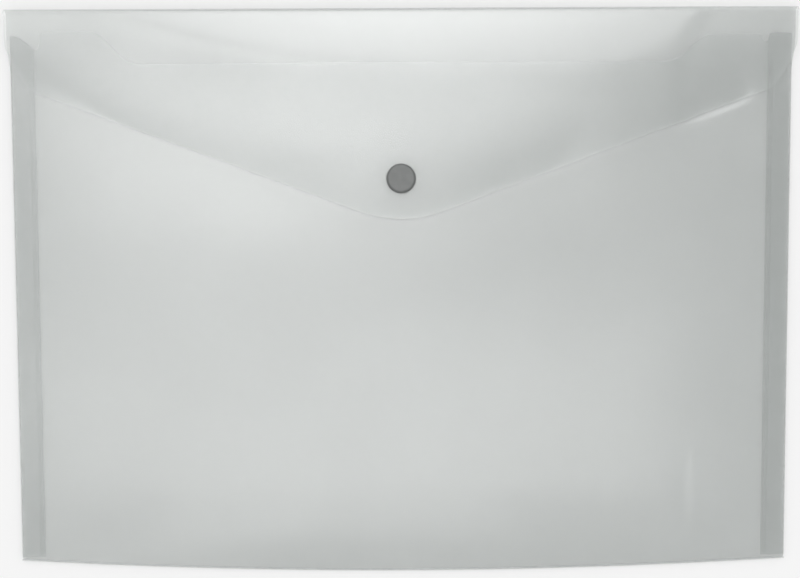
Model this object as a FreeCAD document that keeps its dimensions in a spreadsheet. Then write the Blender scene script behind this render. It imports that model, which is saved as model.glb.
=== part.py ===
# Document wallet of translucent sheet, closed by a press stud. One die-cut sheet is creased into a back
# panel, a front panel with two folded side tabs, and a V-shaped flap. A four-part snap holds the flap.
#
# Frame: the wallet lies on its back panel on the XY plane. +X is the wallet's right, +Y points to the top
# fold, and +Z points out of the front. The origin is the middle of the bounding box's lowest face.
# Lengths are in millimetres.
import FreeCAD, Part
import math
import os

import Sketcher

SIZES = {
    # the sheet and its outline
    "sheet_thickness": 0.3,
    "half_width": 165.8,  # of the pouch, without the flare at the top
    "half_height": 121.0,  # from the middle to the top fold, and to the lowest point of the bottom
    "bottom_bow": 5.0,  # how far the bottom's middle stands below its corners
    "flare": 1.7,  # how far the back panel and flap stand past the pouch on each side
    "flare_start": 15.5,  # below the fold, where the flare begins to draw in
    "flare_end": 26.5,  # below the fold, where it has drawn in
    "flare_radius": 40.0,
    # the flap
    "flap_apex": 92.3,  # fold to the point where the flap's two slanted edges would meet
    "tip_radius": 50.0,
    "neck_inset": 1.0,  # pouch side to where the flap's side turns inwards
    "neck_drop": 22.7,  # fold to the same place
    "shoulder_inset": 8.0,  # pouch side to where a slanted edge starts
    "shoulder_drop": 33.9,  # fold to the same place
    "corner_radius": 7.0,
    # the front panel
    "ear_drop": 10.0,  # fold to the top of the ears
    "ear_width": 37.3,  # pouch side to an ear's inner end
    "ear_inset": 13.4,  # pouch side to its outer end
    "notch_inset": 12.0,  # pouch side to the lowest point of the notch beside the ear
    "notch_radius": 1.5,
    "mouth_drop": 23.3,  # fold to the recessed mouth edge
    "ramp_run": 13.0,
    "ear_radius": 5.0,
    "ramp_radius": 12.0,
    # the folds, as middle radii, and the welds
    "fold_radius": 2.0,
    "side_fold_radius": 0.45,
    "weld_height": 0.15,
    "weld_width": 2.2,
    "weld_inset": 8.5,  # pouch side to the weld's middle
    "tab_width": 10.0,
    "tab_chamfer": 6.8,
    "tab_top_gap": 1.0,  # ears' top to the tabs' upper ends
    "tab_end_gap": 1.5,  # bottom crease to the tabs' lower ends
    "body_gap": 0.05,  # between a moving panel and the fold it hangs on
    # how far the front panel and the flap bulge, and where along Y
    "foot_sag": 3.2,
    "crest_sag": 4.7,
    "ear_sag": 3.4,
    "foot_y": -85.0,
    "crest_low_y": -20.0,
    "crest_high_y": 60.0,
    # the press stud
    "snap_drop": 72.0,  # fold to the snap's axis
    "snap_height": 3.2,  # front panel to flap, when engaged
    "cap_radius": 6.2,
    "cap_height": 1.3,
    "cap_rounding": 0.9,
    "post_radius": 0.75,
    "post_clearance": 0.05,
    "rivet_radius": 1.4,
    "rivet_height": 0.2,
    "flange_radius": 5.2,
    "flange_height": 0.7,
    "ring_radius": 4.6,
    "ring_height": 1.7,
    "lip_radius": 2.55,
    "lip_height": 0.4,
    "cavity_radius": 2.75,
    "ball_radius": 2.4,
    "neck_radius": 2.1,
    "neck_height": 0.5,
    "ball_slope": 0.3,
    "ball_height": 1.5,
    "recess_radius": 1.5,
    "recess_depth": 0.5,
    "seat_gap": 0.02,  # clears the panels' slight curve under a flat flange
    # how far a cutting outline or a sheet to be cut runs past the piece it makes
    "overrun": 1.0,
}

SAME_PLACE = 1e-3  # two points nearer than this are one


class Size:
    """A length with its number and the spreadsheet expression that gives it."""

    def __init__(self, number, text):
        self.number = number
        self.text = text

    @staticmethod
    def of(value):
        return value if isinstance(value, Size) else Size(float(value), str(float(value)))

    def _with(self, other, sign, number):
        return Size(number, f"({self.text} {sign} {other.text})")

    def __add__(self, other):
        other = Size.of(other)
        return self._with(other, "+", self.number + other.number)

    def __sub__(self, other):
        other = Size.of(other)
        return self._with(other, "-", self.number - other.number)

    def __mul__(self, other):
        other = Size.of(other)
        return self._with(other, "*", self.number * other.number)

    def __truediv__(self, other):
        other = Size.of(other)
        return self._with(other, "/", self.number / other.number)

    def __neg__(self):
        return Size(0.0, "0") - self

    def root(self):
        return Size(math.sqrt(self.number), f"sqrt({self.text})")

    def arcsine(self):
        """The angle in degrees whose sine is this size."""
        return Size(math.degrees(math.asin(self.number)), f"asin({self.text})")


def write_sheet(document):
    """Puts each driving dimension in a row of the spreadsheet and returns them as Size objects."""
    sheet = document.addObject("Spreadsheet::Sheet", "Sizes")
    for row, (name, number) in enumerate(SIZES.items(), start=1):
        sheet.set(f"A{row}", name)
        sheet.set(f"B{row}", str(number))
        sheet.setAlias(f"B{row}", name)
    document.recompute()
    return {name: Size(sheet.get(name), f"Sizes.{name}") for name in SIZES}


doc = FreeCAD.newDocument("document_wallet")
size = write_sheet(doc)

# Places worked out from the driving dimensions
ZERO = Size.of(0)
thick = size["sheet_thickness"]
half_thick = thick / 2
side_x = size["half_width"]
top_x = side_x + size["flare"]
fold_y = size["half_height"]
fold_outer = size["fold_radius"] + half_thick
fold_inner = size["fold_radius"] - half_thick
fold_start_y = fold_y - fold_outer  # where the flat sheet turns into the top fold
tab_level = thick + size["weld_height"] + half_thick  # middle of the folded tabs' sheet
side_level = tab_level + size["side_fold_radius"] * 2  # middle of the front panel's sheet at its sides
side_outer = size["side_fold_radius"] + half_thick
side_inner = size["side_fold_radius"] - half_thick
panel_x = side_x - side_outer  # where the front panel turns into a side fold
crease_outer = (side_level + half_thick) / 2  # the bottom crease as a half round
crease_inner = crease_outer - thick
bow_radius = (side_x * side_x + size["bottom_bow"] * size["bottom_bow"]) / (size["bottom_bow"] * 2)
bow_centre_y = bow_radius - fold_y
flap_level = fold_outer * 2 - half_thick  # middle of the flap's sheet at the fold
crest_top = side_level + size["crest_sag"] + half_thick
flap_underside = crest_top + size["snap_height"]
flap_sag = flap_underside + half_thick - flap_level
ear_top_y = fold_y - size["ear_drop"]
tab_top_y = ear_top_y - size["tab_top_gap"]
snap_y = fold_y - size["snap_drop"]
hole_radius = size["post_radius"] + size["post_clearance"]


def bow_end_y(inset, x):
    """Y of the bowed bottom's arc, drawn in by inset, at plan distance x from the middle."""
    radius = bow_radius - inset
    return bow_centre_y - (radius * radius - x * x).root()


tab_end_y = bow_end_y(crease_outer, side_x) + size["tab_end_gap"]


def new_body(label):
    body = doc.addObject("PartDesign::Body", label)
    body.Label = label
    return body


def new_sketch(body, role, name, offset=None):
    """A sketch on one of the body's own origin planes, moved along the plane's normal by offset."""
    sketch = body.newObject("Sketcher::SketchObject", name)
    plane = next(feature for feature in body.Origin.OriginFeatures if feature.Role == role)
    sketch.AttachmentSupport = (plane, "")
    sketch.MapMode = "FlatFace"
    if offset is not None:
        sketch.setExpression("AttachmentOffset.Base.z", offset.text)
    return sketch


def bind(sketch, kind, where, length):
    """Adds one dimension to a sketch and binds it to the spreadsheet."""
    index = sketch.addConstraint(Sketcher.Constraint(kind, *where, length.number))
    sketch.setExpression(f"Constraints[{index}]", length.text)


def draw_loop(sketch, corners, arcs=None):
    """A closed outline through the corners. arcs maps an edge's number to (its centre, a point on it)."""
    arcs = arcs or {}
    places = [FreeCAD.Vector(x.number, y.number, 0) for x, y in corners]
    starts, ends = [], []
    for number, start in enumerate(places):
        end = places[(number + 1) % len(places)]
        if number in arcs:
            x, y = arcs[number][1]
            curve = Part.Arc(start, FreeCAD.Vector(x.number, y.number, 0), end)
        else:
            curve = Part.LineSegment(start, end)
        edge = sketch.addGeometry(curve, False)
        # an arc is kept anticlockwise, so its first point may be either end
        first = (sketch.getPoint(edge, 1) - start).Length < (sketch.getPoint(edge, 2) - start).Length
        starts.append((edge, 1 if first else 2))
        ends.append((edge, 2 if first else 1))
    for number, (x, y) in enumerate(corners):
        sketch.addConstraint(Sketcher.Constraint("Coincident", *ends[number - 1], *starts[number]))
        bind(sketch, "DistanceX", (-1, 1, *starts[number]), x)
        bind(sketch, "DistanceY", (-1, 1, *starts[number]), y)
    for number, (centre, _) in arcs.items():
        chord = places[(number + 1) % len(places)] - places[number]
        kind, place = ("DistanceX", centre[0]) if abs(chord.y) > abs(chord.x) else ("DistanceY", centre[1])
        bind(sketch, kind, (-1, 1, starts[number][0], 3), place)


def draw_hole(sketch, x, y, radius):
    centre = FreeCAD.Vector(x.number, y.number, 0)
    edge = sketch.addGeometry(Part.Circle(centre, FreeCAD.Vector(0, 0, 1), radius.number), False)
    bind(sketch, "DistanceX", (-1, 1, edge, 3), x)
    bind(sketch, "DistanceY", (-1, 1, edge, 3), y)
    bind(sketch, "Radius", (edge,), radius)


def pad(body, sketch, length, name, centred=False):
    feature = body.newObject("PartDesign::Pad", name)
    feature.Profile = sketch
    feature.setExpression("Length", length.text)
    feature.SideType = "Symmetric" if centred else "One side"
    return feature


def round_corners(body, feature, places, radius):
    """Rounds the upright edges of a padded outline that stand at these plan places."""
    doc.recompute()
    names = []
    for number, edge in enumerate(feature.Shape.Edges, start=1):
        a, b = edge.Vertexes[0].Point, edge.Vertexes[-1].Point
        upright = abs(a.z - b.z) > SAME_PLACE and math.hypot(a.x - b.x, a.y - b.y) < SAME_PLACE
        if upright and any(math.hypot(a.x - x.number, a.y - y.number) < SAME_PLACE for x, y in places):
            names.append(f"Edge{number}")
    rounded = body.newObject("PartDesign::Fillet", f"{feature.Name}_rounded_{len(body.Group)}")
    rounded.Base = (feature, names)
    rounded.setExpression("Radius", radius.text)
    return rounded


def mirrored(corners):
    """The same corners on the other side of the middle, in reverse order."""
    return [(-x, y) for x, y in reversed(corners)]


def both_sides(corners):
    return corners + mirrored(corners)


def bottom_arc(inset):
    """The bowed bottom edge, drawn in by inset: its centre and its lowest point."""
    return (ZERO, bow_centre_y), (ZERO, inset - fold_y)


def arch_section(body, name, y, half_span, level, sag):
    """The cut across a panel at one place along Y: a thin band, flat or bulging by sag."""
    sketch = new_sketch(body, "XZ_Plane", name, -y)
    low, high = level - half_thick, level + half_thick
    corners = [(-half_span, low), (half_span, low), (half_span, high), (-half_span, high)]
    arcs = {}
    if sag is not None:
        drop = (half_span * half_span - sag * sag) / (sag * 2)  # from the band's ends to the arc's centre
        arcs = {0: ((ZERO, low - drop), (ZERO, low + sag)), 2: ((ZERO, high - drop), (ZERO, high + sag))}
    draw_loop(sketch, corners, arcs)
    return sketch


def arched_sheet(name, half_span, level, sections):
    """A thin bulging sheet, lofted through its sections, each (place along Y, sag)."""
    body = new_body(name)
    sketches = [
        arch_section(body, f"{name}_section_{number}", y, half_span, level, sag)
        for number, (y, sag) in enumerate(sections, start=1)
    ]
    loft = body.newObject("PartDesign::AdditiveLoft", f"{name}_loft")
    loft.Profile = sketches[0]
    loft.Sections = [(sketch, [""]) for sketch in sketches[1:]]
    loft.Ruled = True
    return body


def trimmed(label, sheet, outline):
    """The part of a bulging sheet that lies inside a padded outline."""
    common = doc.addObject("Part::Common", label)
    common.Base = sheet
    common.Tool = outline
    return common


def back_panel():
    body = new_body("back_panel")
    sketch = new_sketch(body, "XY_Plane", "back_outline")
    flare = [(side_x, fold_y - size["flare_end"]), (top_x, fold_y - size["flare_start"])]
    right = [(side_x, bow_end_y(crease_outer, side_x)), *flare, (top_x, fold_start_y)]
    draw_loop(sketch, both_sides(right), {len(right) * 2 - 1: bottom_arc(crease_outer)})
    plate = pad(body, sketch, thick, "back_plate")
    round_corners(body, plate, both_sides(flare), size["flare_radius"])
    return body


def front_panel():
    sheet = arched_sheet(
        "front_sheet",
        panel_x - size["body_gap"],
        side_level,
        [
            (-fold_y, None),
            (size["foot_y"], size["foot_sag"]),
            (size["crest_low_y"], size["crest_sag"]),
            (size["crest_high_y"], size["crest_sag"]),
            (ear_top_y + size["overrun"], size["ear_sag"]),
        ],
    )
    outline = new_body("front_outline")
    sketch = new_sketch(outline, "XY_Plane", "front_outline_sketch")
    inset = crease_outer + size["body_gap"]
    ear_x = side_x - size["ear_width"]
    ear_corner = (ear_x, ear_top_y)
    mouth_corner = (ear_x - size["ramp_run"], fold_y - size["mouth_drop"])
    edge_x = panel_x - size["body_gap"]
    notch_foot = (side_x - size["notch_inset"], tab_top_y - size["tab_chamfer"])
    ear_end = (side_x - size["ear_inset"], ear_top_y)
    bottom_corner, tab_corner = (edge_x, bow_end_y(inset, edge_x)), (edge_x, tab_top_y)
    right = [bottom_corner, tab_corner, notch_foot, ear_end, ear_corner, mouth_corner]
    draw_loop(sketch, both_sides(right), {len(right) * 2 - 1: bottom_arc(inset)})
    draw_hole(sketch, ZERO, snap_y, hole_radius)
    block = pad(outline, sketch, flap_underside, "front_block")
    notches = round_corners(outline, block, both_sides([notch_foot, ear_end]), size["notch_radius"])
    ears = round_corners(outline, notches, both_sides([ear_corner]), size["ear_radius"])
    round_corners(outline, ears, both_sides([mouth_corner]), size["ramp_radius"])
    return trimmed("front_panel", sheet, outline)


def flap():
    apex = (ZERO, fold_y - size["flap_apex"])
    sheet = arched_sheet(
        "flap_sheet",
        top_x,
        flap_level,
        [(fold_start_y, None), (size["crest_high_y"], flap_sag), (apex[1] - size["overrun"], flap_sag)],
    )
    outline = new_body("flap_outline")
    sketch = new_sketch(outline, "XY_Plane", "flap_outline_sketch")
    flare = (top_x, fold_y - size["flare_start"])
    neck = (side_x - size["neck_inset"], fold_y - size["neck_drop"])
    shoulder = (side_x - size["shoulder_inset"], fold_y - size["shoulder_drop"])
    right = [(top_x, fold_start_y), flare, neck, shoulder]
    draw_loop(sketch, right + [apex] + mirrored(right))
    draw_hole(sketch, ZERO, snap_y, hole_radius)
    block = pad(outline, sketch, flap_underside * 2, "flap_block")
    tip = round_corners(outline, block, [apex], size["tip_radius"])
    round_corners(outline, tip, both_sides([flare, neck, shoulder]), size["corner_radius"])
    return trimmed("flap", sheet, outline)


def fold_crease():
    """The rounded top fold, a half round from the back panel up to the flap."""
    body = new_body("fold_crease")
    sketch = new_sketch(body, "YZ_Plane", "fold_section")
    y, top = fold_start_y, fold_outer * 2
    corners = [(y, ZERO), (y, top), (y, top - thick), (y, thick)]
    arcs = {
        0: ((y, fold_outer), (y + fold_outer, fold_outer)),
        2: ((y, fold_outer), (y + fold_inner, fold_outer)),
    }
    draw_loop(sketch, corners, arcs)
    pad(body, sketch, top_x * 2, "fold_bend", centred=True)
    return body


def bottom_crease():
    """The bottom fold: a half round turned about the far centre of the bottom's bow."""
    body = new_body("bottom_crease")
    sketch = new_sketch(body, "YZ_Plane", "bottom_section")
    y, top = crease_outer - fold_y, crease_outer * 2
    corners = [(y, ZERO), (y, thick), (y, top - thick), (y, top)]
    arcs = {
        1: ((y, crease_outer), (y - crease_inner, crease_outer)),
        3: ((y, crease_outer), (y - crease_outer, crease_outer)),
    }
    draw_loop(sketch, corners, arcs)
    foot = FreeCAD.Vector(bow_centre_y.number, 0, 0)
    axis = sketch.addGeometry(Part.LineSegment(foot, foot + FreeCAD.Vector(0, thick.number, 0)), True)
    bind(sketch, "DistanceX", (-1, 1, axis, 1), bow_centre_y)
    bind(sketch, "DistanceY", (-1, 1, axis, 1), ZERO)
    bind(sketch, "DistanceX", (-1, 1, axis, 2), bow_centre_y)
    bind(sketch, "DistanceY", (-1, 1, axis, 2), thick)
    turn = body.newObject("PartDesign::Revolution", "bottom_bend")
    turn.Profile = sketch
    turn.ReferenceAxis = (sketch, ["Axis0"])
    turn.Midplane = True
    turn.setExpression("Angle", ((side_x / bow_radius).arcsine() * 2).text)
    return body


def side_tab(label, side):
    """A side strip: a half-round side fold, then a flat tab under the front panel. side is 1 or -1."""
    body = new_body(label)
    sketch = new_sketch(body, "XZ_Plane", f"{label}_section", -tab_end_y)
    tab_low, tab_high = tab_level - half_thick, tab_level + half_thick
    front_low, front_high = side_level - half_thick, side_level + half_thick
    middle = tab_level + size["side_fold_radius"]
    centre = (panel_x, middle)
    end_x = side_x - size["tab_width"]
    corners = [
        (end_x, tab_low),
        (panel_x, tab_low),
        (panel_x, front_high),
        (panel_x, front_low),
        (panel_x, tab_high),
        (end_x, tab_high),
    ]
    arcs = {
        1: (centre, (panel_x + side_outer, middle)),
        3: (centre, (panel_x + side_inner, middle)),
    }
    draw_loop(
        sketch,
        [(x * side, z) for x, z in corners],
        {edge: tuple((x * side, z) for x, z in points) for edge, points in arcs.items()},
    )
    strip = pad(body, sketch, tab_top_y - tab_end_y, f"{label}_strip")
    strip.Reversed = True
    cut = new_sketch(body, "XY_Plane", f"{label}_chamfer")
    past_x, past_y = end_x - size["overrun"], tab_top_y + size["overrun"]
    low_corner = (past_x, tab_top_y - size["tab_chamfer"])
    triangle = [(panel_x, tab_top_y), low_corner, (past_x, past_y), (panel_x, past_y)]
    draw_loop(cut, [(x * side, y) for x, y in triangle])
    pocket = body.newObject("PartDesign::Pocket", f"{label}_cut")
    pocket.Profile = cut
    pocket.Reversed = True
    pocket.setExpression("Length", (side_level * 2).text)
    return body


def weld_seam(label, side):
    """The fused line between a tab and the back panel."""
    seam = doc.addObject("Part::Box", label)
    length = tab_top_y - size["tab_chamfer"] - tab_end_y
    middle_x = (side_x - size["weld_inset"]) * side
    seam.setExpression("Length", size["weld_width"].text)
    seam.setExpression("Width", length.text)
    seam.setExpression("Height", size["weld_height"].text)
    seam.setExpression("Placement.Base.x", (middle_x - size["weld_width"] / 2).text)
    seam.setExpression("Placement.Base.y", tab_end_y.text)
    seam.setExpression("Placement.Base.z", thick.text)
    return seam


def turned(label, profile, level, upside_down=False):
    """A round piece on the snap's axis. profile is its half outline, as (radius, height) corners."""
    body = new_body(label)
    sketch = new_sketch(body, "XZ_Plane", f"{label}_profile")
    draw_loop(sketch, profile)
    turn = body.newObject("PartDesign::Revolution", f"{label}_turn")
    turn.Profile = sketch
    turn.ReferenceAxis = (sketch, ["V_Axis"])
    body.setExpression("Placement.Base.y", snap_y.text)
    body.setExpression("Placement.Base.z", level.text)
    if upside_down:
        body.Placement.Rotation = FreeCAD.Rotation(FreeCAD.Vector(1, 0, 0), 180)
    return body, turn


def rivet_cap(label, grip, level, upside_down=False):
    """A round cap whose post runs down through what it holds, by grip, to a flattened rivet head."""
    bottom = -grip - size["rivet_height"]
    profile = [
        (ZERO, bottom),
        (size["rivet_radius"], bottom),
        (size["rivet_radius"], -grip),
        (size["post_radius"], -grip),
        (size["post_radius"], ZERO),
        (size["cap_radius"], ZERO),
        (size["cap_radius"], size["cap_height"]),
        (ZERO, size["cap_height"]),
    ]
    body, turn = turned(label, profile, level, upside_down)
    doc.recompute()
    rim = [
        f"Edge{number}"
        for number, edge in enumerate(turn.Shape.Edges, start=1)
        if isinstance(edge.Curve, Part.Circle)
        and abs(edge.Curve.Radius - size["cap_radius"].number) < SAME_PLACE
        and abs(edge.Curve.Center.z - size["cap_height"].number) < SAME_PLACE
    ]
    rounded = body.newObject("PartDesign::Fillet", f"{label}_rim")
    rounded.Base = (turn, rim)
    rounded.setExpression("Radius", size["cap_rounding"].text)
    return body


def snap_socket():
    """The female half, hung under the flap: a flange, and a ring whose lip passes over the ball."""
    ring_bottom = -size["flange_height"] - size["ring_height"]
    lip_top = ring_bottom + size["lip_height"]
    profile = [
        (hole_radius, ZERO),
        (size["flange_radius"], ZERO),
        (size["flange_radius"], -size["flange_height"]),
        (size["ring_radius"], -size["flange_height"]),
        (size["ring_radius"], ring_bottom),
        (size["lip_radius"], ring_bottom),
        (size["lip_radius"], lip_top),
        (size["cavity_radius"], lip_top),
        (size["cavity_radius"], -size["flange_height"]),
        (hole_radius, -size["flange_height"]),
    ]
    return turned("snap_socket", profile, flap_underside - size["seat_gap"])[0]


def snap_stud():
    """The male half, on the front panel: a flange with a necked ball, recessed for the rear rivet."""
    flange_top = size["flange_height"]
    ball_top = flange_top + size["ball_height"]
    neck_top = flange_top + size["neck_height"]
    recess_floor = ball_top - size["recess_depth"]
    profile = [
        (hole_radius, ZERO),
        (size["flange_radius"], ZERO),
        (size["flange_radius"], flange_top),
        (size["neck_radius"], flange_top),
        (size["neck_radius"], neck_top),
        (size["ball_radius"], neck_top + size["ball_slope"]),
        (size["ball_radius"], ball_top - size["ball_slope"]),
        (size["neck_radius"], ball_top),
        (size["recess_radius"], ball_top),
        (size["recess_radius"], recess_floor),
        (hole_radius, recess_floor),
    ]
    return turned("snap_stud", profile, crest_top)[0]


def make_nodes():
    ball_grip = thick + size["flange_height"] + size["ball_height"] - size["recess_depth"]
    rear_seat = crest_top - thick - size["seat_gap"]
    return [
        back_panel(),
        front_panel(),
        flap(),
        fold_crease(),
        bottom_crease(),
        side_tab("left_side_tab", -1),
        side_tab("right_side_tab", 1),
        weld_seam("left_weld_seam", -1),
        weld_seam("right_weld_seam", 1),
        rivet_cap("snap_cap", thick + size["flange_height"] + size["seat_gap"], flap_underside + thick),
        snap_socket(),
        snap_stud(),
        rivet_cap("snap_rear_cap", ball_grip + size["seat_gap"], rear_seat, upside_down=True),
    ]


def check(nodes):
    """Stops with a message if the document or any node's shape is faulty."""
    failed = [item.Name for item in doc.Objects if {"Invalid", "Error"} & set(item.State)]
    if failed:
        raise RuntimeError(f"these objects failed: {failed}")
    for node in nodes:
        if node.Shape.isNull() or not node.Shape.isValid() or len(node.Shape.Solids) != 1:
            raise RuntimeError(f"{node.Label} isn't one valid solid")


def write(nodes):
    os.makedirs("parts", exist_ok=True)
    for node in nodes:
        node.Shape.exportStep(f"parts/{node.Label}.step")
        box = node.Shape.optimalBoundingBox()
        spans = [(box.XMin, box.XMax), (box.YMin, box.YMax), (box.ZMin, box.ZMax)]
        ranges = [f"{low:.2f}..{high:.2f}" for low, high in spans]
        print(f"{node.Label}: {node.Shape.Volume:.2f} mm3", *ranges)


nodes = make_nodes()
doc.recompute()
check(nodes)
write(nodes)
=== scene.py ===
import math

import bmesh
import bpy
import numpy as np
from mathutils import Euler, Matrix, Vector
from mathutils.geometry import delaunay_2d_cdt


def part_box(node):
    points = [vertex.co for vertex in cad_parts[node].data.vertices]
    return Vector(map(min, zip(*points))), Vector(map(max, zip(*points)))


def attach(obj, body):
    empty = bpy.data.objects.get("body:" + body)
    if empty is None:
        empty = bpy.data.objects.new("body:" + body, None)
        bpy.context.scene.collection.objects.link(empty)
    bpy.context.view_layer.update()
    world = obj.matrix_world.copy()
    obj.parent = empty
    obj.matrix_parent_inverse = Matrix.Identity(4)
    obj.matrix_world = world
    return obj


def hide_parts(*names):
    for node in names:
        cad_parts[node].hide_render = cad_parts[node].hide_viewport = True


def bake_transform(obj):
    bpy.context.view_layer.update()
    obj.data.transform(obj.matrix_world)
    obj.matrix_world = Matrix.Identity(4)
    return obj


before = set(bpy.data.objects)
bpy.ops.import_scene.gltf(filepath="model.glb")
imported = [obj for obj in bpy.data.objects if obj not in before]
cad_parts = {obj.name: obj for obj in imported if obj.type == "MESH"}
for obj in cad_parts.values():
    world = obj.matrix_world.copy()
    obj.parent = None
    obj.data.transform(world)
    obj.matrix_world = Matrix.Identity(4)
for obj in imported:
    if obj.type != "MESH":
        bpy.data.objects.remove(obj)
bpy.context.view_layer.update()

# A translucent document wallet, lying on its back. Metres: +X is its right, +Y points to the top fold.
MM = 0.001

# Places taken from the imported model
back_high, front_high, flap_high = (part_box(name)[1] for name in ("back_panel", "front_panel", "flap"))
fold_low, fold_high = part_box("fold_crease")
bottom_low, bottom_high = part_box("bottom_crease")
tab_low, tab_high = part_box("right_side_tab")
weld_low, weld_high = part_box("right_weld_seam")
cap_low, cap_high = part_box("snap_cap")
rear_low, rear_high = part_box("snap_rear_cap")
THICK = back_high.z
TOP_X, FOLD_Y, FOLD_START_Y = fold_high.x, fold_high.y, fold_low.y
SIDE_X, BOTTOM_Y = bottom_high.x, bottom_low.y
FOLD_RADIUS = (fold_high.z - THICK) / 2  # to the middle of the sheet
FOOT_RADIUS = (bottom_high.z - THICK) / 2
TAB_LEVEL = tab_low.z + THICK / 2
SIDE_LEVEL = tab_high.z - THICK / 2  # the front sheet where it leaves its side folds
SIDE_RADIUS = (SIDE_LEVEL - TAB_LEVEL) / 2
PANEL_X = SIDE_X - SIDE_RADIUS - THICK / 2
TAB_END_X, TAB_TOP_Y, TAB_FOOT_Y = tab_low.x, tab_high.y, tab_low.y
EAR_TOP_Y = front_high.y
FLAP_CREST = flap_high.z - THICK / 2
FRONT_CREST = front_high.z - THICK / 2
SNAP_Y = (cap_low.y + cap_high.y) / 2

# Shape of the outlines
BOW = 5 * MM  # the bottom's middle stands this far below its corners
FLARE_START, FLARE_END, FLARE_RADIUS = 15.5 * MM, 26.5 * MM, 40 * MM
NECK_INSET, NECK_DROP = 1.0 * MM, 22.7 * MM
SHOULDER_INSET, SHOULDER_DROP, SHOULDER_RADIUS = 8.0 * MM, 33.9 * MM, 9 * MM
FLAP_APEX, TIP_RADIUS = 92.3 * MM, 50 * MM
EAR_WIDTH, EAR_INSET, EAR_RADIUS = 37.3 * MM, 13.4 * MM, 7 * MM
NOTCH_INSET, NOTCH_DEPTH, NOTCH_RADIUS = 12.0 * MM, 6.8 * MM, 1.5 * MM
MOUTH_DROP, RAMP_RUN, RAMP_RADIUS = 23.3 * MM, 13 * MM, 15 * MM
TAB_REACH = 0.8 * MM  # past the CAD tab's foot, towards the bottom fold
TAB_FLAT = {-1: 3.0 * MM, 1: 9.0 * MM}  # level run of each tab's top, before the notch, left and right
EAR_LIFT = {-1: 0.8 * MM, 1: -1.6 * MM}  # the front panel is folded a little askew
POST_HOLE = 0.8 * MM
bow_radius = (SIDE_X ** 2 + BOW ** 2) / (2 * BOW)

# Gauge of the meshes
GRID = 2.5 * MM  # inside a sheet
EDGE_STEP = 1.5 * MM  # along its outline
EDGE_RINGS = (0.5 * MM, 1.2 * MM, 2.2 * MM)  # rows of points this far inside it
FINE_STEP = 1.6 * MM  # along the fine rows, where the front panel is pressed in
ARC_STEP = math.radians(6)


def bow_y(x, inset=0.0):
    """Y of the bowed bottom edge, drawn in by inset."""
    radius = bow_radius - inset
    return BOTTOM_Y + bow_radius - np.sqrt(radius ** 2 - np.square(x))


def trace(corners, step=EDGE_STEP):
    """Points along straight runs between corners, each (x, y, radius), rounded where radius isn't 0."""
    path = [Vector(corners[0][:2])]
    for before, corner, after in zip(corners, corners[1:], corners[2:]):
        here, radius = Vector(corner[:2]), corner[2]
        back, ahead = (Vector(before[:2]) - here).normalized(), (Vector(after[:2]) - here).normalized()
        if radius == 0:
            path.append(here)
            continue
        turn = math.pi - back.angle(ahead)
        centre = here + (back + ahead).normalized() * (radius / math.cos(turn / 2))
        start = here + back * (radius * math.tan(turn / 2))
        spoke = start - centre
        spin = turn if spoke.x * back.y - spoke.y * back.x < 0 else -turn
        count = max(2, math.ceil(turn / ARC_STEP))
        for number in range(count + 1):
            angle = spin * number / count
            cos, sin = math.cos(angle), math.sin(angle)
            path.append(centre + Vector((spoke.x * cos - spoke.y * sin, spoke.x * sin + spoke.y * cos)))
    path.append(Vector(corners[-1][:2]))
    points = []
    for a, b in zip(path, path[1:]):
        count = max(1, math.ceil((b - a).length / step))
        points += [a.lerp(b, number / count) for number in range(count)]
    return [tuple(p) for p in points] + [tuple(path[-1])]


def mirrored(points):
    return [(-x, y) for x, y in reversed(points)]


def bow_points(half_span, inset):
    """The bottom edge from left to right, without its two ends."""
    count = math.ceil(2 * half_span / EDGE_STEP)
    return [(x, float(bow_y(x, inset))) for x in np.linspace(-half_span, half_span, count + 1)[1:-1]]


def back_outline():
    corner_y = float(bow_y(SIDE_X, FOOT_RADIUS))
    right = trace([
        (SIDE_X, corner_y, 0),
        (SIDE_X, FOLD_Y - FLARE_END, FLARE_RADIUS),
        (TOP_X, FOLD_Y - FLARE_START, FLARE_RADIUS),
        (TOP_X, FOLD_START_Y, 0),
        (0, FOLD_START_Y, 0),
    ])
    return right[:-1] + mirrored(right) + bow_points(SIDE_X, FOOT_RADIUS)


def front_outline():
    halves = {}
    for side in (-1, 1):
        ear_y = EAR_TOP_Y + EAR_LIFT[side]
        halves[side] = trace([
            (PANEL_X, float(bow_y(PANEL_X, FOOT_RADIUS)), 0),
            (PANEL_X, TAB_TOP_Y, 0),
            (SIDE_X - TAB_FLAT[side], TAB_TOP_Y, 0),
            (SIDE_X - NOTCH_INSET, TAB_TOP_Y - NOTCH_DEPTH, NOTCH_RADIUS),
            (SIDE_X - EAR_INSET, ear_y, NOTCH_RADIUS),
            (SIDE_X - EAR_WIDTH, ear_y, EAR_RADIUS),
            (SIDE_X - EAR_WIDTH - RAMP_RUN, FOLD_Y - MOUTH_DROP, RAMP_RADIUS),
            (0, FOLD_Y - MOUTH_DROP, 0),
        ])
    return halves[1][:-1] + mirrored(halves[-1]) + bow_points(PANEL_X, FOOT_RADIUS)


def flap_outline():
    right = trace([
        (0, flap_root_y, 0),
        (TOP_X, flap_root_y, 0),
        (TOP_X, FOLD_Y - FLARE_START, SHOULDER_RADIUS),
        (SIDE_X - NECK_INSET, FOLD_Y - NECK_DROP, SHOULDER_RADIUS),
        (SIDE_X - SHOULDER_INSET, FOLD_Y - SHOULDER_DROP, SHOULDER_RADIUS),
        (0, FOLD_Y - FLAP_APEX, TIP_RADIUS),
        (-SIDE_X + SHOULDER_INSET, FOLD_Y - SHOULDER_DROP, 0),
    ])
    right = [point for point in right if point[0] >= -1e-9]
    return list(reversed(right)) + [(-x, y) for x, y in right[1:] if x > 1e-9]


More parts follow.
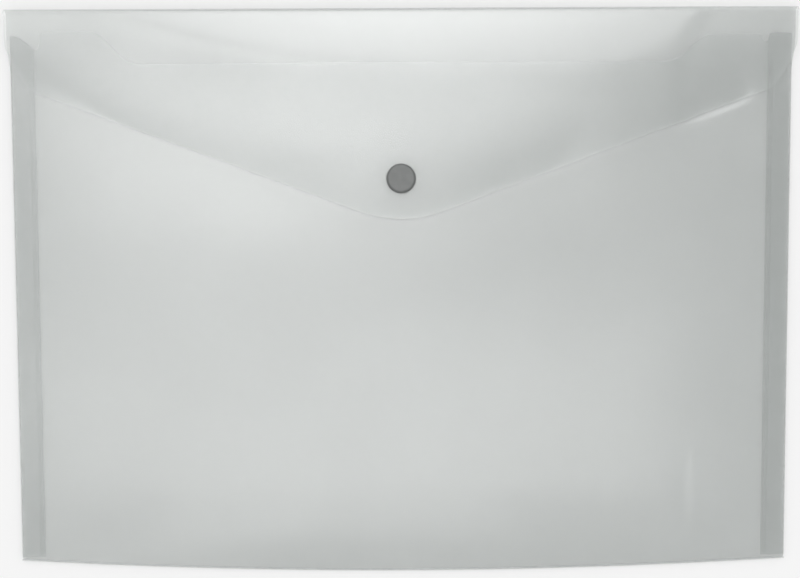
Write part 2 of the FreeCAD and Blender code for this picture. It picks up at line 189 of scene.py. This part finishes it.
# How the sheets bulge. A RUN is the length over which a soft step or a fade happens.
ROOT_SLOPE = math.radians(9)  # how steeply the flap leaves its fold
fold_turn = math.pi - ROOT_SLOPE
fold_bend_radius = 2 * FOLD_RADIUS / (1 + math.cos(ROOT_SLOPE))
flap_root_y = FOLD_START_Y + fold_bend_radius * math.sin(ROOT_SLOPE)
FLAP_FLAT_Y = 55 * MM  # below this the flap's crest is level
EDGE_CURL, EDGE_CURL_RUN = 0.14 * MM, 1.3 * MM  # the flap's cut edge turns down a little
SAG, SAG_RUN = 2.4 * MM, 26 * MM  # the flap's edge sinks towards the front panel
SAG_FREE_RADIUS = 42 * MM  # but not near the snap
REST_GAP = 0.9 * MM  # least height of the flap's middle above the front panel's
SNAP_REACH = 16 * MM  # the snap holds the sheets level this far round it
CREST_Y = -78 * MM  # where the front panel has risen from the bottom fold
FOOT_BEND = 2.2  # how quickly it rises
SHELF_Y, SHELF_RUN, SHELF_DROP = -45 * MM, 24 * MM, 0.5 * MM  # a soft step down above the crest
CHEST_Y, CHEST_RUN, CHEST_DROP = 40 * MM, 40 * MM, 1.8 * MM  # a second one, only in the left half
LEFT_X, LEFT_RUN = -30 * MM, 160 * MM  # where the left half fades in
WAVE, WAVE_RUN = 0.2 * MM, 40 * MM  # unevenness of the free sheets

# What the flap's edge presses into the front panel: places are how far inside the flap
PRESS_AT, PRESS_RUN, PRESS_DEPTH = -0.8 * MM, 2.2 * MM, 0.12 * MM
STREAK_AT, STREAK_RUN, STREAK_DEPTH = -1.9 * MM, 3.4 * MM, 0.6 * MM
STREAK_LEFT, STREAK_LEFT_RUN = 120 * MM, 12 * MM  # the deeper streak's ends
STREAK_RIGHT, STREAK_RIGHT_RUN = 148 * MM, 6 * MM
PRESS_ROWS = [offset * MM for offset in (-4.5, -3.2, -2.0, -1.2, -0.4, 0.4, 1.2)]
TIP_RISE = 3.3 * MM  # from the slanted edges' meeting point to the rounded tip

# Two faint upright creases in the front panel
CREASES = [(84 * MM, 0.1 * MM), (121 * MM, 0.22 * MM)]  # where across it, and how deep
CREASE_WIDTH = 2.4 * MM
CREASE_FOOT_Y, CREASE_FOOT_RUN = -104 * MM, 10 * MM
CREASE_TOP_Y, CREASE_TOP_RUN = -74 * MM, 12 * MM


def arch(x, half_span):
    """How much of the bulge is left at x."""
    return 1 - np.square(x / half_span)


def ripple(x, y, phase):
    """The slight unevenness of a soft sheet, from -1 to 1."""
    long_wave = np.sin(x * 31 + y * 19 + phase) * np.cos(y * 43 - x * 11 + 2.1 * phase)
    short_wave = np.sin(x * 71 - y * 53 + 3.3 * phase) * np.cos(y * 97 + x * 29 + phase)
    return 0.7 * long_wave + 0.3 * short_wave


# The flap's slanted edges, which would meet at its apex
apex_y = FOLD_Y - FLAP_APEX
slant_end_x = SIDE_X - SHOULDER_INSET
slant = math.atan2(FLAP_APEX - SHOULDER_DROP, slant_end_x)


def inside_flap(x, y):
    """How far a point lies inside the flap's slanted edges and rounded tip; below 0 is outside them."""
    centre_y = apex_y + TIP_RADIUS / math.cos(slant)
    from_slant = (y - apex_y) * math.cos(slant) - np.abs(x) * math.sin(slant)
    at_tip = np.abs(x) < (centre_y - y) * math.tan(slant)
    return np.where(at_tip, TIP_RADIUS - np.hypot(x, centre_y - y), from_slant)


def slant_rows():
    """Points in rows along the flap's slanted edges, for the panel that it presses on."""
    rows = []
    for offset in PRESS_ROWS:
        for x in np.arange(0, slant_end_x, FINE_STEP):
            y = apex_y + x * math.tan(slant) + offset / math.cos(slant)
            arc_y = apex_y + (TIP_RADIUS - math.sqrt(max(0, TIP_RADIUS ** 2 - x ** 2))) + TIP_RISE + offset
            rows += [(side * x, max(y, arc_y) if x < TIP_RADIUS * math.sin(slant) else y) for side in (-1, 1)]
    return rows


def crease_rows():
    """Points beside the two upright creases."""
    offsets = [side * offset * MM for side in (-1, 1) for offset in (0.6, 2.0, 3.6)]
    rows = np.arange(-110, -64, 3) * MM
    return [(at + offset, y) for at, _ in CREASES for offset in offsets for y in rows]


def back_level(x, y):
    return np.full_like(x, THICK / 2)


def soft_step(value, middle, run):
    """From 0 to 1 as value passes middle, over about run."""
    return 0.5 + 0.5 * np.tanh(2 * (value - middle) / run)


def near_snap(x, y, reach=SNAP_REACH):
    """1 at the snap's axis, fading out around it."""
    return np.exp(-(np.square(x) + np.square(y - SNAP_Y)) / reach ** 2)


def front_bulge(x, y):
    """The front panel's lengthwise shape, before its fall to the sides."""
    foot = bow_y(x, FOOT_RADIUS)
    rise = 1 - np.power(1 - np.clip((y - foot) / (CREST_Y - foot), 0, 1), FOOT_BEND)
    shelf = SHELF_DROP * soft_step(y, SHELF_Y, SHELF_RUN)
    chest = CHEST_DROP * soft_step(y, CHEST_Y, CHEST_RUN) * soft_step(-x, -LEFT_X, LEFT_RUN)
    return (FRONT_CREST - SIDE_LEVEL + SHELF_DROP + CHEST_DROP / 2) * rise - shelf - chest


def pressed(x, y):
    """How far the flap's edge presses the front panel in, most of all near its right end."""
    inset = inside_flap(x, y)
    along = soft_step(x, STREAK_LEFT, STREAK_LEFT_RUN) * soft_step(-x, -STREAK_RIGHT, STREAK_RIGHT_RUN)
    streak = STREAK_DEPTH * along * soft_step(inset, STREAK_AT, STREAK_RUN)
    return PRESS_DEPTH * soft_step(inset, PRESS_AT, PRESS_RUN) + streak


def dented(x, y):
    """How deep the two upright creases low on the right are."""
    low_down = soft_step(-y, -CREASE_TOP_Y, CREASE_TOP_RUN) * soft_step(y, CREASE_FOOT_Y, CREASE_FOOT_RUN)
    marks = sum(depth * np.exp(-np.square((x - at) / CREASE_WIDTH)) for at, depth in CREASES)
    return marks * low_down


def front_level(x, y):
    wave = WAVE * ripple(x, y, 0.6) * soft_step(y, CREST_Y, WAVE_RUN)
    height = arch(x, PANEL_X) * (front_bulge(x, y) + wave)
    held = FRONT_CREST - SIDE_LEVEL
    settled = height - pressed(x, y) * (1 - near_snap(x, y)) - dented(x, y)
    return SIDE_LEVEL + settled + (held - settled) * near_snap(x, y)


def flap_level(x, y):
    root_level = THICK / 2 + 2 * FOLD_RADIUS
    length = flap_root_y - FLAP_FLAT_Y
    run = np.clip((flap_root_y - y) / length, 0, 1)
    steepness = math.tan(ROOT_SLOPE) * length / (FLAP_CREST - root_level)
    bulge = (FLAP_CREST - root_level) * (1 - np.power(1 - run, steepness))
    wave = WAVE * ripple(x, y, 2.9) * run * (1 - near_snap(x, y))
    inset = np.clip(inside_flap(x, y), 0, None)
    height = root_level + arch(x, TOP_X) * (bulge + wave) - EDGE_CURL * np.exp(-inset / EDGE_CURL_RUN)
    spare = np.clip(height - front_level(x, y) - REST_GAP, 0, None)
    sinking = SAG * np.exp(-inset / SAG_RUN) * (1 - near_snap(x, y, SAG_FREE_RADIUS))
    return height - np.minimum(spare, sinking)


# Meshes
SHARP = math.radians(35)


def new_piece(name, points, faces, material):
    mesh = bpy.data.meshes.new(name)
    mesh.from_pydata(points, [], faces)
    mesh.validate()
    mesh.shade_smooth()
    mesh.set_sharp_from_angle(angle=SHARP)
    mesh.materials.append(material)
    piece = bpy.data.objects.new(name, mesh)
    bpy.context.scene.collection.objects.link(piece)
    return piece


def inside(points, loop):
    """Which points lie inside a closed outline."""
    x, y = points[:, 0][:, None], points[:, 1][:, None]
    x1, y1 = loop[:, 0][None], loop[:, 1][None]
    x2, y2 = np.roll(x1, -1), np.roll(y1, -1)
    crosses = (y1 > y) != (y2 > y)
    with np.errstate(divide="ignore", invalid="ignore"):
        crossing_x = x1 + (y - y1) * (x2 - x1) / (y2 - y1)
    return (np.sum(crosses & (x < crossing_x), axis=1) % 2) == 1


def distance(points, rim):
    """How far each point is from the nearest point of the rim."""
    nearest = np.full(len(points), np.inf)
    for start in range(0, len(rim), 64):
        gap = points[:, None] - rim[None, start:start + 64]
        nearest = np.minimum(nearest, np.sqrt(np.square(gap).sum(axis=2)).min(axis=1))
    return nearest


def inner_ring(loop, inset):
    """The outline's points moved inwards, apart from those that come too near to another stretch of it."""
    along = np.roll(loop, -1, axis=0) - np.roll(loop, 1, axis=0)
    along /= np.linalg.norm(along, axis=1)[:, None]
    ring = loop + np.column_stack([-along[:, 1], along[:, 0]]) * inset
    ring = ring[inside(ring, loop)]
    return ring[distance(ring, loop) > inset * 0.93]


def hole_points(centre_y, radius, count=20):
    angles = np.linspace(0, 2 * math.pi, count, endpoint=False)
    return np.stack([radius * np.cos(angles), centre_y + radius * np.sin(angles)], axis=1)


def sheet(name, loop, level, material, hole=False, fine_rows=()):
    """A closed sheet of the wallet's gauge inside a plan outline, its middle at the height level(x, y).

    fine_rows are more points of its mesh, where its shape turns quickly.
    """
    loops = [np.array(loop)]
    if hole:
        loops.append(hole_points(SNAP_Y, POST_HOLE))
    rim = np.vstack(loops)
    low, high = rim.min(axis=0), rim.max(axis=0)
    rows = np.arange(low[1] + GRID / 2, high[1], GRID * math.sqrt(3) / 2)
    grid = [
        (x, y)
        for number, y in enumerate(rows)
        for x in np.arange(low[0] + GRID * (0.3 + 0.5 * (number % 2)), high[0], GRID)
    ]
    grid = np.array(grid)
    grid = grid[inside(grid, loops[0])]
    grid = grid[distance(grid, rim) > EDGE_RINGS[-1] + GRID * 0.3]
    rings = np.array([point for inset in EDGE_RINGS for point in inner_ring(loops[0], inset)])
    if len(fine_rows):
        fine = fine_rows[inside(fine_rows, loops[0])]
        fine = fine[distance(fine, np.vstack([rim, rings])) > EDGE_RINGS[0]]
        grid = grid[distance(grid, fine) > GRID * 0.5]
        rings = np.vstack([rings, fine])
    points = np.vstack([rim, rings, grid])
    edges, start = [], 0
    for one in loops:
        count = len(one)
        edges += [(start + n, start + (n + 1) % count) for n in range(count)]
        start += count
    plan, _, faces, *_ = delaunay_2d_cdt([Vector(p) for p in points.tolist()], edges, [], 1, 1e-9)
    plan = np.array([tuple(p) for p in plan])
    if hole:
        middles = np.array([plan[list(face)].mean(axis=0) for face in faces])
        in_hole = np.hypot(middles[:, 0], middles[:, 1] - SNAP_Y) < POST_HOLE
        faces = [face for face, drop in zip(faces, in_hole) if not drop]
    count = len(plan)
    middle = level(plan[:, 0], plan[:, 1])
    upper = np.column_stack([plan, middle + THICK / 2])
    lower = np.column_stack([plan, middle - THICK / 2])
    solid = [tuple(face) for face in faces] + [tuple(count + n for n in reversed(face)) for face in faces]
    for a, b in edges:
        solid.append((b, a, count + a, count + b))
    piece = new_piece(name, np.vstack([upper, lower]).tolist(), solid, material)
    face_out(piece)
    return piece


def band(name, stations, material):
    """A closed strip of sheet. Each station is a list of (middle point, normal) across the strip."""
    points, width = [], len(stations[0])
    for station in stations:
        points += [middle + normal * (THICK / 2) for middle, normal in station]
        points += [middle - normal * (THICK / 2) for middle, normal in station]
    ring = 2 * width
    faces = []
    for s in range(len(stations) - 1):
        a, b = s * ring, (s + 1) * ring
        for k in range(width - 1):
            faces.append((a + k, a + k + 1, b + k + 1, b + k))
            faces.append((a + width + k, b + width + k, b + width + k + 1, a + width + k + 1))
        faces.append((a, b, b + width, a + width))
        faces.append((a + width - 1, a + ring - 1, b + ring - 1, b + width - 1))
    last = (len(stations) - 1) * ring
    for k in range(width - 1):
        faces.append((k, width + k, width + k + 1, k + 1))
        faces.append((last + k, last + k + 1, last + width + k + 1, last + width + k))
    piece = new_piece(name, [tuple(p) for p in points], faces, material)
    face_out(piece)
    return piece


def face_out(piece):
    """Turns a closed mesh's faces outwards."""
    mesh = bmesh.new()
    mesh.from_mesh(piece.data)
    bmesh.ops.recalc_face_normals(mesh, faces=mesh.faces)
    mesh.to_mesh(piece.data)
    mesh.free()


def lathe(name, profile, base_z, material, count=96, upside_down=False):
    """A round piece on the snap's axis, from a half profile of (radius, height, rounding) corners.

    The profile starts and ends on the axis.
    """
    half = trace(profile, step=1.0 * MM)
    flip = -1 if upside_down else 1
    rings = [(radius, base_z + flip * height) for radius, height in half if radius > 1e-7]
    points = []
    for radius, z in rings:
        for n in range(count):
            angle = 2 * math.pi * n / count
            points.append((radius * math.cos(angle), SNAP_Y + radius * math.sin(angle), z))
    faces = []
    for r in range(len(rings) - 1):
        a, b = r * count, (r + 1) * count
        faces += [(a + n, a + (n + 1) % count, b + (n + 1) % count, b + n) for n in range(count)]
    for z, first in ((half[0][1], 0), (half[-1][1], (len(rings) - 1) * count)):
        points.append((0, SNAP_Y, base_z + flip * z))
        faces += [(first + n, first + (n + 1) % count, len(points) - 1) for n in range(count)]
    piece = new_piece(name, points, faces, material)
    face_out(piece)
    return piece


# Materials
def node_material(name):
    material = bpy.data.materials.new(name)
    material.use_nodes = True
    nodes, links = material.node_tree.nodes, material.node_tree.links
    return material, nodes, links, nodes["Principled BSDF"]


def noise(nodes, links, place, scale, detail=3.0, roughness=0.5):
    texture = nodes.new("ShaderNodeTexNoise")
    texture.inputs["Scale"].default_value = scale
    texture.inputs["Detail"].default_value = detail
    texture.inputs["Roughness"].default_value = roughness
    links.new(place, texture.inputs["Vector"])
    return texture


def bump(nodes, links, height, strength, distance, below=None):
    made = nodes.new("ShaderNodeBump")
    made.inputs["Strength"].default_value = strength
    made.inputs["Distance"].default_value = distance
    links.new(height, made.inputs["Height"])
    if below is not None:
        links.new(below.outputs["Normal"], made.inputs["Normal"])
    return made


def ramp(nodes, links, value, low, high, low_colour, high_colour):
    made = nodes.new("ShaderNodeValToRGB")
    made.color_ramp.elements[0].position = low
    made.color_ramp.elements[1].position = high
    made.color_ramp.elements[0].color = (*low_colour, 1)
    made.color_ramp.elements[1].color = (*high_colour, 1)
    links.new(value, made.inputs["Fac"])
    return made


def clear_sheet(name, alpha, tint=(0.51, 0.54, 0.525), cloud=0.025, roughness=0.27):
    """Frosted translucent polypropylene with a fine satin emboss."""
    material, nodes, links, shader = node_material(name)
    place = nodes.new("ShaderNodeTexCoord").outputs["Object"]
    clouds = noise(nodes, links, place, 14, detail=4)
    paler = [min(1, value + cloud) for value in tint]
    darker = [value - cloud for value in tint]
    tones = ramp(nodes, links, clouds.outputs["Fac"], 0.3, 0.7, darker, paler)
    links.new(tones.outputs["Color"], shader.inputs["Base Color"])
    emboss = noise(nodes, links, place, 2200, detail=2)
    waviness = noise(nodes, links, place, 60, detail=2)
    broad = bump(nodes, links, waviness.outputs["Fac"], 0.12, 0.0004)
    fine = bump(nodes, links, emboss.outputs["Fac"], 0.12, 0.00003, broad)
    links.new(fine.outputs["Normal"], shader.inputs["Normal"])
    shader.inputs["Alpha"].default_value = alpha
    shader.inputs["Roughness"].default_value = roughness
    shader.inputs["IOR"].default_value = 1.9
    return material


def snap_plastic(name):
    """Dark grey acetal with a fine spark-eroded matt."""
    material, nodes, links, shader = node_material(name)
    place = nodes.new("ShaderNodeTexCoord").outputs["Object"]
    mottle = noise(nodes, links, place, 350, detail=4)
    tones = ramp(nodes, links, mottle.outputs["Fac"], 0.3, 0.7, (0.082, 0.087, 0.085), (0.098, 0.103, 0.1))
    links.new(tones.outputs["Color"], shader.inputs["Base Color"])
    grain = noise(nodes, links, place, 4200, detail=3)
    fine = bump(nodes, links, grain.outputs["Fac"], 0.5, 0.00004)
    links.new(fine.outputs["Normal"], shader.inputs["Normal"])
    shader.inputs["Roughness"].default_value = 0.62
    return material


panel_plastic = clear_sheet("clear_sheet", alpha=0.22)
# The same plastic with a darker tint for the bottom and side folds: painted shade, where these folds curve
# away from the light
fold_shade_plastic = clear_sheet("creased_sheet", alpha=0.24, tint=(0.39, 0.42, 0.405))
weld_plastic = clear_sheet("welded_sheet", alpha=0.16, roughness=0.5)
stud_plastic = snap_plastic("snap_plastic")


# The sheets
def add(piece, body, slot, *nodes):
    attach(piece, body)
    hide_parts(*nodes)


back_sheet = sheet("back_sheet", back_outline(), back_level, panel_plastic)
add(back_sheet, "back", "clear_sheet", "back_panel")
fine_rows = np.array(slant_rows() + crease_rows())
front_sheet = sheet(
    "front_sheet", front_outline(), front_level, panel_plastic, hole=True, fine_rows=fine_rows
)
add(front_sheet, "front", "clear_sheet", "front_panel")
flap_sheet = sheet("flap_sheet", flap_outline(), flap_level, panel_plastic, hole=True)
add(flap_sheet, "flap", "clear_sheet", "flap")


# The folds
FOLD_STEPS, SMALL_FOLD_STEPS = 28, 14


def top_fold():
    """From the back panel's sheet, round the top fold, to the flap's."""
    stations = []
    for x in np.linspace(-TOP_X, TOP_X, 121):
        station = []
        for angle in np.linspace(0, fold_turn, FOLD_STEPS + 1):
            normal = Vector((0, math.sin(angle), -math.cos(angle)))
            centre = Vector((x, FOLD_START_Y, THICK / 2 + fold_bend_radius))
            station.append((centre + normal * fold_bend_radius, normal))
        stations.append(station)
    return band("top_fold", stations, panel_plastic)


def bottom_fold():
    """From the back panel's sheet, round the bowed bottom, to the front panel's."""
    stations = []
    bow_centre = Vector((0, BOTTOM_Y + bow_radius, 0))
    for x in np.linspace(-SIDE_X, SIDE_X, 121):
        foot = Vector((x, float(bow_y(x, FOOT_RADIUS + THICK / 2)), 0))
        out = (foot - bow_centre).normalized()
        station = []
        for angle in np.linspace(0, math.pi, SMALL_FOLD_STEPS + 1):
            normal = out * math.sin(angle) + Vector((0, 0, -math.cos(angle)))
            centre = foot + Vector((0, 0, THICK / 2 + FOOT_RADIUS))
            station.append((centre + normal * FOOT_RADIUS, normal))
        stations.append(station)
    # its darker tint is painted shade on the fold
    return band("bottom_fold", stations, fold_shade_plastic)


def side_fold(name, side):
    """A tab welded to the back panel, and the side fold that joins it to the front panel."""
    notch_y, notch_x = TAB_TOP_Y - NOTCH_DEPTH, SIDE_X - NOTCH_INSET
    below_notch = np.linspace(TAB_FOOT_Y - TAB_REACH, notch_y, 70)
    beside_notch = np.linspace(notch_y, TAB_TOP_Y, 9)[1:]
    spread = (NOTCH_INSET - TAB_FLAT[side]) / NOTCH_DEPTH
    stations = []
    for y in np.append(below_notch, beside_notch):
        end_x = max(TAB_END_X, notch_x + (y - notch_y) * spread)
        station = []
        for x in np.linspace(end_x, PANEL_X, 9)[:-1]:
            station.append((Vector((side * x, y, TAB_LEVEL)), Vector((0, 0, -1))))
        for angle in np.linspace(0, math.pi, SMALL_FOLD_STEPS + 1):
            normal = Vector((side * math.sin(angle), 0, -math.cos(angle)))
            centre = Vector((side * PANEL_X, y, TAB_LEVEL + SIDE_RADIUS))
            station.append((centre + normal * SIDE_RADIUS, normal))
        stations.append(station)
    # its darker tint is painted shade on the tab and its fold
    return band(name, stations, fold_shade_plastic)


fold_piece = top_fold()
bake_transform(fold_piece)
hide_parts("fold_crease")
foot_piece = bottom_fold()
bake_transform(foot_piece)
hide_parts("bottom_crease")
for side, word in ((-1, "left"), (1, "right")):
    tab_piece = side_fold(f"{word}_tab", side)
    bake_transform(tab_piece)
    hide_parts(f"{word}_side_tab")


# The weld seams
def weld_bead(name, side):
    """A fused line, slightly knurled along its length by the welding bar."""
    middle = (weld_low + weld_high) / 2
    half = (weld_high - weld_low) / 2
    pitch, around = 1.6 * MM, 12
    length = weld_high.y - weld_low.y
    rows = np.linspace(weld_low.y, weld_high.y, math.ceil(length / (pitch / 4)) + 1)
    points, faces = [], []
    for y in rows:
        knurl = 1 + 0.1 * math.cos(2 * math.pi * (y - weld_low.y) / pitch)
        taper = min(1.0, 0.35 + (weld_high.y - y) / (2 * MM), 0.35 + (y - weld_low.y) / (2 * MM))
        for n in range(around):
            angle = 2 * math.pi * n / around
            x = half.x * knurl * taper * math.cos(angle)
            points.append((side * (middle.x + x), y, middle.z + half.z * math.sin(angle)))
    for r in range(len(rows) - 1):
        a, b = r * around, (r + 1) * around
        faces += [(a + n, a + (n + 1) % around, b + (n + 1) % around, b + n) for n in range(around)]
    faces += [tuple(range(around)), tuple(range(len(points) - around, len(points)))]
    piece = new_piece(name, points, faces, weld_plastic)
    face_out(piece)
    return piece


for side, word in ((-1, "left"), (1, "right")):
    add(weld_bead(f"{word}_weld", side), "back", "welded_sheet", f"{word}_weld_seam")


# The press stud
CAP_RADIUS = (cap_high.x - cap_low.x) / 2
CAP_HEIGHT = cap_high.z - flap_high.z
POST_RADIUS, RIVET_RADIUS, RIVET_HEIGHT = 0.75 * MM, 1.4 * MM, 0.2 * MM


def cap_profile(grip):
    """A shallow dished disc with a soft rim, a post through what it holds, and a flattened rivet head."""
    return [
        (0, -grip - RIVET_HEIGHT, 0),
        (RIVET_RADIUS, -grip - RIVET_HEIGHT, 0.09 * MM),
        (RIVET_RADIUS, -grip, 0.09 * MM),
        (POST_RADIUS, -grip, 0),
        (POST_RADIUS, 0, 0),
        (CAP_RADIUS - 0.1 * MM, 0, 0.08 * MM),
        (CAP_RADIUS, CAP_HEIGHT * 0.25, 0.2 * MM),
        (CAP_RADIUS, CAP_HEIGHT * 0.6, 0.5 * MM),
        (CAP_RADIUS - 0.9 * MM, CAP_HEIGHT, 0.9 * MM),
        (1.6 * MM, CAP_HEIGHT - 0.12 * MM, 2 * MM),
        (0, CAP_HEIGHT - 0.12 * MM, 0),
    ]


snap_cap = lathe("stud_cap", cap_profile(flap_high.z - cap_low.z - RIVET_HEIGHT), flap_high.z, stud_plastic)
add(snap_cap, "flap", "snap_plastic", "snap_cap")
rear_grip = rear_high.z - RIVET_HEIGHT - (rear_low.z + CAP_HEIGHT)
rear_cap = lathe("rear_cap", cap_profile(rear_grip), rear_low.z + CAP_HEIGHT, stud_plastic, upside_down=True)
add(rear_cap, "front", "snap_plastic", "snap_rear_cap")
for name in ("snap_socket", "snap_stud"):
    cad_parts[name].data.materials.clear()
    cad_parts[name].data.materials.append(stud_plastic)


# Stage, light and camera
LIGHT_DISTANCE = 1.4


def make_floor():
    half = 4.0
    corners = [(-half, -half, 0), (half, -half, 0), (half, half, 0), (-half, half, 0)]
    mesh = bpy.data.meshes.new("floor")
    mesh.from_pydata(corners, [], [(0, 1, 2, 3)])
    floor = bpy.data.objects.new("floor", mesh)
    floor.location.z = -0.05 * MM
    bpy.context.scene.collection.objects.link(floor)
    material, _, _, shader = node_material("floor_paper")
    shader.inputs["Base Color"].default_value = (0.92, 0.92, 0.92, 1)
    shader.inputs["Roughness"].default_value = 1.0
    shader.inputs["Specular IOR Level"].default_value = 0.0
    mesh.materials.append(material)


def soft_box(name, tilt_x, tilt_y, width, height, watts):
    """A window-like light that only makes gloss, so many degrees from straight above, its width along X."""
    aim = Vector((math.tan(math.radians(tilt_x)), math.tan(math.radians(tilt_y)), 1)).normalized()
    light = bpy.data.lights.new(name, "AREA")
    light.shape = "RECTANGLE"
    light.size, light.size_y = width, height
    light.energy = watts
    lamp = bpy.data.objects.new(name, light)
    lamp.location = aim * LIGHT_DISTANCE
    across = (Vector((1, 0, 0)) - aim * aim.x).normalized()
    lamp.rotation_euler = Matrix((across, aim.cross(across), aim)).transposed().to_euler()
    lamp.visible_diffuse = lamp.visible_camera = False
    bpy.context.scene.collection.objects.link(lamp)


def make_world(strength):
    world = bpy.data.worlds.new("studio")
    bpy.context.scene.world = world
    world.use_nodes = True
    sky = world.node_tree.nodes["Background"]
    sky.inputs["Color"].default_value = (1, 1, 1, 1)
    sky.inputs["Strength"].default_value = strength


def make_camera():
    lens = bpy.data.cameras.new("camera")
    lens.lens, lens.sensor_width = 50, 36
    camera = bpy.data.objects.new("camera", lens)
    camera.location = (0.5 * MM, 30.7 * MM, 477.5 * MM)
    camera.rotation_euler = Euler([math.radians(angle) for angle in (-3.44, 0.13, -0.25)])
    bpy.context.scene.collection.objects.link(camera)
    bpy.context.scene.camera = camera


make_floor()
make_world(1.0)
make_camera()
soft_box("back_window", -12, 50, 1.1, 0.3, 8)
soft_box("top_window", -3, 35, 1.35, 0.38, 20)
soft_box("upper_window", 5, 21, 0.85, 0.36, 2.5)
soft_box("middle_window", -5, 12, 1.1, 0.35, 6.1)
soft_box("left_glow", -13, 7, 0.75, 0.45, 3.6)
soft_box("lower_strip", -6, -12, 1.45, 0.35, 7)
soft_box("low_fill", -7, -29, 0.7, 0.5, 3.2)
scene = bpy.context.scene
scene.view_settings.view_transform = "Standard"
scene.cycles.transparent_max_bounces = 32
scene.cycles.max_bounces = 4
scene.cycles.diffuse_bounces = 2
scene.cycles.glossy_bounces = 2
